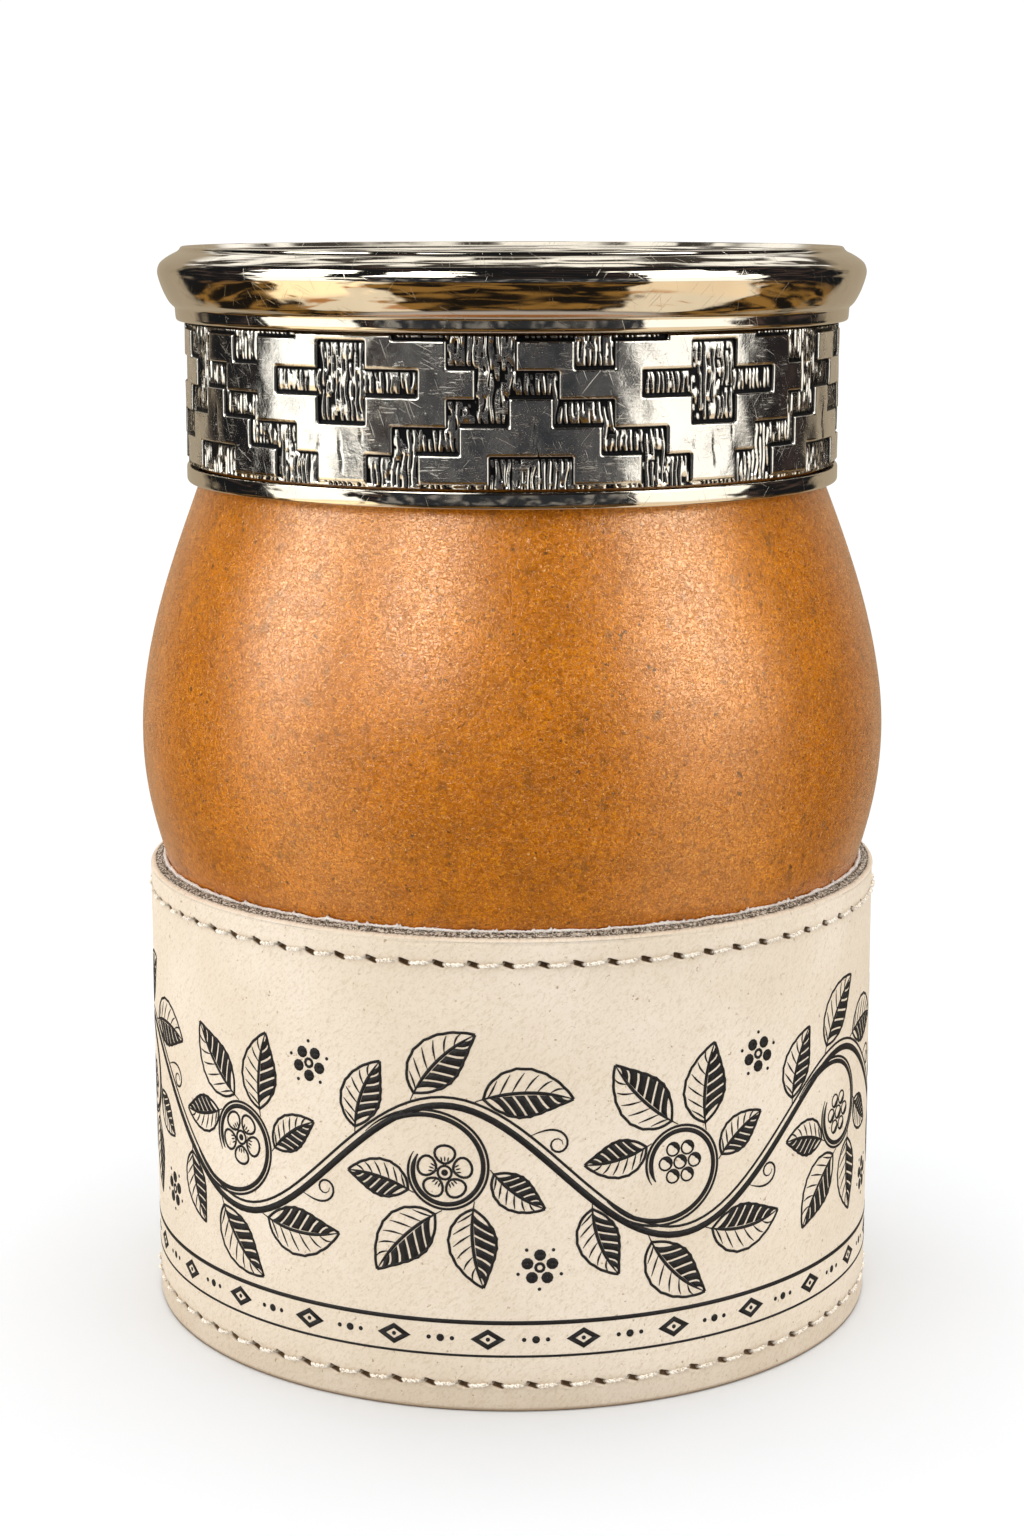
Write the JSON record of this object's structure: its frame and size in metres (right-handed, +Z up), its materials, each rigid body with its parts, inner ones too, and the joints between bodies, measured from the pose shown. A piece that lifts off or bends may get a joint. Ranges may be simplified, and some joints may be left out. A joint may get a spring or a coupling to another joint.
{
  "type": "leather-covered mate gourd",
  "caption": "Round drinking gourd covered in tan leather, with an ornamented metal ferrule round its mouth, standing loose in a straight stitched leather sleeve.",
  "frame": {"origin": "middle of the underside, on the surface that the sleeve stands on", "axes": "+Z up along the axis of the gourd and the sleeve, -Y towards the front, the seams at +Y"},
  "size_m": [0.084, 0.084, 0.1199],
  "materials": {
    "calabash": "dried gourd, matt straw brown",
    "tan_leather": "tan leather, fine grain, waxed to a soft gloss",
    "nickel_silver": "nickel silver, a white copper alloy, polished, darkened in the ground of the ornament",
    "cream_leather": "natural cream leather, matt, with a black printed frieze",
    "lining_leather": "thin white split leather, rough",
    "sole_leather": "brown sole leather, matt",
    "cream_thread": "twisted waxed thread, cream",
    "tan_thread": "waxed thread, tan"
  },
  "bodies": {
    "sleeve": {"sleeve_wall": "cream_leather", "sleeve_lining": "lining_leather", "base_cup": "sole_leather", "top_stitching": "cream_thread", "bottom_stitching": "cream_thread", "sleeve_seam_thread": "cream_thread"},
    "gourd": {"calabash_shell": "calabash", "leather_cover": "tan_leather", "cover_seam_thread": "tan_thread", "ferrule_rim": "nickel_silver", "engraved_band": "nickel_silver", "ferrule_trim_ring": "nickel_silver"}
  },
  "joints": [
    {"name": "gourd_lift", "type": "slide", "parent": "sleeve", "child": "gourd", "axis": [0, 0, 1], "range_m": [0, 0.06]}
  ]
}
